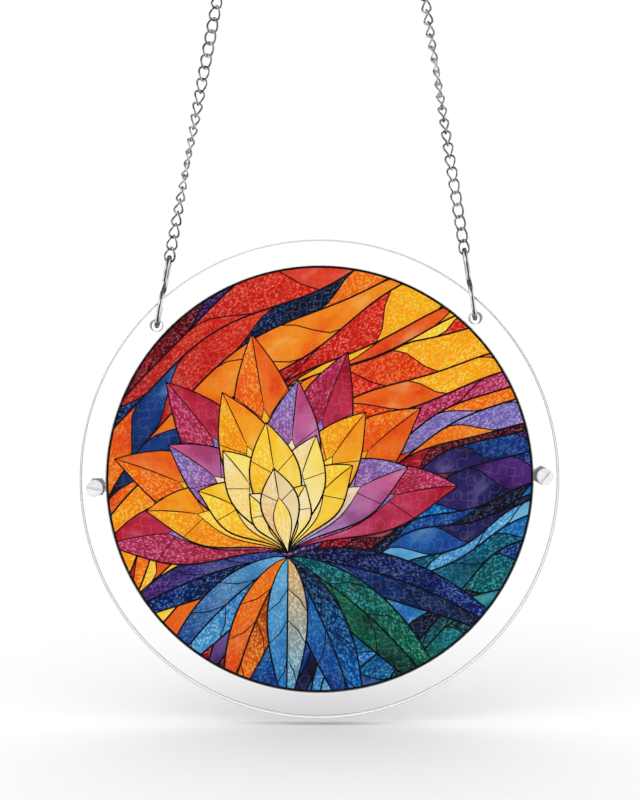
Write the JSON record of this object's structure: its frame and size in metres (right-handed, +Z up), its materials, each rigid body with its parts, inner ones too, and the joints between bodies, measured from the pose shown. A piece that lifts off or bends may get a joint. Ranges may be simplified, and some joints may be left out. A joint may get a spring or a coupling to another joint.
{
  "type": "acrylic suncatcher",
  "caption": "Round clear acrylic suncatcher: a printed picture panel between clear discs, hung by curb chains and S-hooks from one ring.",
  "frame": {"origin": "the hanging point, at the inside top of the hanging ring, where a nail or hook bears", "axes": "+Z up, with the discs' printed front facing -Y and +X to the right as seen from the front"},
  "size_m": [0.1998, 0.0165, 0.5504],
  "materials": {
    "clear_acrylic": "clear polished cast sheet with polished edges",
    "printed_acrylic": "translucent sheet printed in the manner of leaded glass, cut into a curved jigsaw",
    "clear_plastic": "clear moulded, slightly grainy",
    "bright_steel": "bright plated wire",
    "chain_steel": "bright plated twisted-link chain"
  },
  "bodies": {
    "root": {"front_disc": "clear_acrylic", "back_disc": "clear_acrylic", "spacer_ring": "clear_acrylic", "picture_panel": "printed_acrylic", "screw_left": "clear_plastic", "screw_right": "clear_plastic", "nut_left": "clear_plastic", "nut_right": "clear_plastic", "s_hook_left": "bright_steel", "s_hook_right": "bright_steel", "chain_left": "chain_steel", "chain_right": "chain_steel", "hanging_ring": "bright_steel"}
  },
  "joints": []
}
